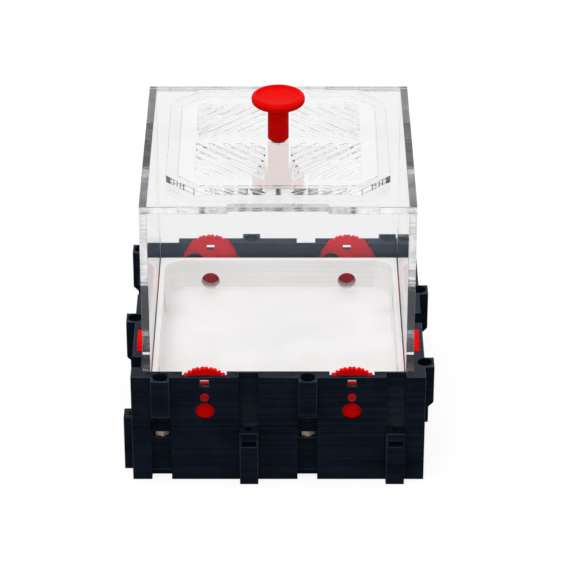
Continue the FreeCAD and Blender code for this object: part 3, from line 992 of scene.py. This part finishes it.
@dataclass
class Fasteners:
    """The brass nuts in the bosses and the screws from below, in millimetres."""

    brass: TurnedMetal
    steel: TurnedMetal
    inset: float = 52.6
    across: tuple[float, float] = (-48.0, 12.0)
    nut_flats: float = 5.5
    nut_low: float = 18.2
    nut_high: float = 20.6
    nut_turn: float = 12.0
    nut_bevel: float = 0.15
    bore: float = 1.55
    head_radius: float = 2.79
    screw_radius: float = 1.5
    screw_low: float = 0.2
    screw_high: float = 20.2
    shank: float = 4.0
    thread_pitch: float = 0.5
    thread_depth: float = 0.26
    thread_end: float = 0.4
    socket_ring: float = 0.9
    socket_flats: float = 2.0
    socket_depth: float = 1.1

    def build(self) -> None:
        """Build both sets."""
        finished(set_at(self.nut(), self.places()), "brass_nuts", "base",
                 [self.brass.material()], ["captive_nuts"])
        finished(set_at(self.screw(), self.places()), "steel_base_screws", "base",
                 [self.steel.material()], ["base_screws"])

    def places(self) -> list[Matrix]:
        """Where the screws stand: two on each side of the frame.

        Returns:
            A placement for each screw.
        """
        return [Matrix.Rotation(math.radians(90 * quarter), 4, "Z")
                @ Matrix.Translation((across * MM, -self.inset * MM, 0))
                for quarter in range(4) for across in self.across]

    def nut(self) -> bmesh.types.BMesh:
        """One hexagon nut, turned a little off the square, on the upright axis.

        Returns:
            The nut's mesh.
        """
        solid = bmesh.new()
        middle = (self.nut_low + self.nut_high) / 2 * MM
        thick = (self.nut_high - self.nut_low) * MM
        corner = self.nut_flats * MM / math.sqrt(3)
        for segments, radius in ((6, corner), (48, self.bore * MM)):
            bmesh.ops.create_cone(solid, segments=segments, radius1=radius, radius2=radius,
                                  depth=thick, matrix=Matrix.Translation((0, 0, middle)))
        outer = []
        for height in (self.nut_low, self.nut_high):
            rim = rim_at(solid, height)
            outer += [edge for edge in rim if edge.calc_length() > self.bore * MM]
            bmesh.ops.bridge_loops(solid, edges=rim)
        bmesh.ops.bevel(solid, geom=outer, offset=self.nut_bevel * MM, affect="EDGES",
                        segments=2, profile=0.5, material=-1)
        bmesh.ops.rotate(solid, verts=solid.verts, cent=(0, 0, 0),
                         matrix=Matrix.Rotation(math.radians(self.nut_turn), 3, "Z"))
        bmesh.ops.recalc_face_normals(solid, faces=solid.faces)
        return solid

    def screw(self) -> bmesh.types.BMesh:
        """One countersunk screw with a hexagon socket in its head, on the upright axis.

        Returns:
            The screw's mesh.
        """
        low, radius, end = self.screw_low, self.screw_radius, self.thread_end
        profile = [(self.head_radius - self.socket_ring, low), (self.head_radius, low),
                   (radius, low + self.head_radius - radius),
                   *thread(low + self.shank, self.screw_high - end, radius,
                           radius - self.thread_depth, self.thread_pitch),
                   (radius - end, self.screw_high), (0, self.screw_high)]
        solid = turned(profile, 48)
        add_socket(solid, self.socket_flats, low, low + self.socket_depth)
        return solid


@dataclass
class Studio:
    """Floor, lights, world and camera."""

    camera_place: tuple[float, float, float] = (0.002767, -1.051315, 0.655493)
    camera_pitch: float = 60.407
    lens: float = 180.98
    sensor: float = 36.0
    ambient: float = 1.05
    room: float = 0.95
    sweep_half: float = 0.4
    key_strength: float = 0.85
    key_width: float = 40.0
    key_turn: tuple[float, float, float] = (12.0, -12.0, 0.0)
    most_bounces: int = 32
    floor_half: float = 3.0
    clip: Span = (0.05, 20.0)

    def build(self) -> None:
        """Set everything up."""
        self.add_floor()
        self.add_world()
        self.add_lights()
        self.add_camera()
        self.let_light_through()

    def add_floor(self) -> None:
        """A wide floor under the object."""
        solid = bmesh.new()
        bmesh.ops.create_grid(solid, x_segments=1, y_segments=1, size=self.floor_half)
        mesh = bpy.data.meshes.new("studio_floor")
        solid.to_mesh(mesh)
        solid.free()
        mesh.materials.append(StudioWhite("studio white").material())
        floor = bpy.data.objects.new("studio_floor", mesh)
        bpy.context.scene.collection.objects.link(floor)

    def add_world(self) -> None:
        """White where it is seen; a white sweep behind the object and a dimmer room in front."""
        world = bpy.data.worlds.new("studio")
        bpy.context.scene.world = world
        graph = Graph(world)
        way = graph.add("ShaderNodeTexCoord").outputs["Generated"]
        depth = graph.add("ShaderNodeSeparateXYZ", {"Vector": way}).outputs["Y"]
        around = graph.remap(depth, -self.sweep_half, self.sweep_half, self.room, 1.0)
        ray = graph.add("ShaderNodeLightPath").outputs
        lit = graph.sum_up("MULTIPLY", around,
                           graph.remap(ray["Is Glossy Ray"], 0.0, 1.0, self.ambient, 1.0))
        seen = graph.sum_up("MAXIMUM", ray["Is Camera Ray"], ray["Is Transmission Ray"])
        light = graph.add("ShaderNodeBackground", {
            "Color": (1.0, 1.0, 1.0, 1.0), "Strength": graph.sum_up("MAXIMUM", lit, seen)})
        graph.add("ShaderNodeOutputWorld", {"Surface": light.outputs["Background"]})

    def add_lights(self) -> None:
        """A wide soft sun from above and a little in front."""
        lamp = bpy.data.lights.new("key", "SUN")
        lamp.energy = self.key_strength
        lamp.angle = math.radians(self.key_width)
        key = bpy.data.objects.new("key", lamp)
        key.rotation_euler = tuple(math.radians(turn) for turn in self.key_turn)
        bpy.context.scene.collection.objects.link(key)

    def let_light_through(self) -> None:
        """Follow light far enough through the clear sheets and along their edges."""
        paths = bpy.context.scene.cycles
        paths.max_bounces = self.most_bounces
        paths.transmission_bounces = self.most_bounces
        paths.glossy_bounces = self.most_bounces // 2
        paths.transparent_max_bounces = self.most_bounces

    def add_camera(self) -> None:
        """The camera of the photograph."""
        lens = bpy.data.cameras.new("camera")
        lens.lens = self.lens
        lens.sensor_width = self.sensor
        lens.clip_start, lens.clip_end = self.clip
        camera = bpy.data.objects.new("camera", lens)
        camera.location = self.camera_place
        camera.rotation_euler = (math.radians(self.camera_pitch), 0, 0)
        bpy.context.scene.collection.objects.link(camera)
        bpy.context.scene.camera = camera


def main() -> None:
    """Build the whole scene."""
    logging.basicConfig(level=logging.INFO, format="%(name)s: %(message)s")
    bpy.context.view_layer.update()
    black = PrintedPlastic("black print", linear(21, 29, 42), linear(8, 13, 21), 0.38, 0.11,
                           gleam=(0.7, 0.84, 1.0))
    red = PrintedPlastic("red print", linear(228, 9, 3), linear(210, 3, 2), 0.5, 0.02)
    pin = PrintedPlastic("red pin ends", linear(176, 30, 30), linear(140, 22, 24), 0.6, 0.05)
    white = PrintedPlastic("white print", linear(242, 241, 240), linear(232, 231, 230), 0.6, 0.1,
                           relief=0.2)
    # A lighter black for the frame's softened edges: a painted highlight, also a little glossier.
    black_painted_highlight = PrintedPlastic("black print painted edge highlights", linear(50, 58, 74), linear(30, 36, 48), 0.35,
                                0.15, gleam=(0.7, 0.84, 1.0))
    brass = TurnedMetal("brass", (0.85, 0.72, 0.52), (0.6, 0.5, 0.36), 0.45, metallic=0.45)
    steel = TurnedMetal("steel", (0.3, 0.3, 0.32), (0.16, 0.15, 0.15), 0.3)
    PrintedFrame(black, black_painted_highlight).build()
    Gates(red, pin).build()
    Tray(white).build()
    ClearBox().build()
    Lid(red, steel).build()
    Fasteners(brass, steel).build()
    Studio().build()
    bpy.context.scene.view_settings.view_transform = "Standard"


if __name__ == "__main__":
    main()
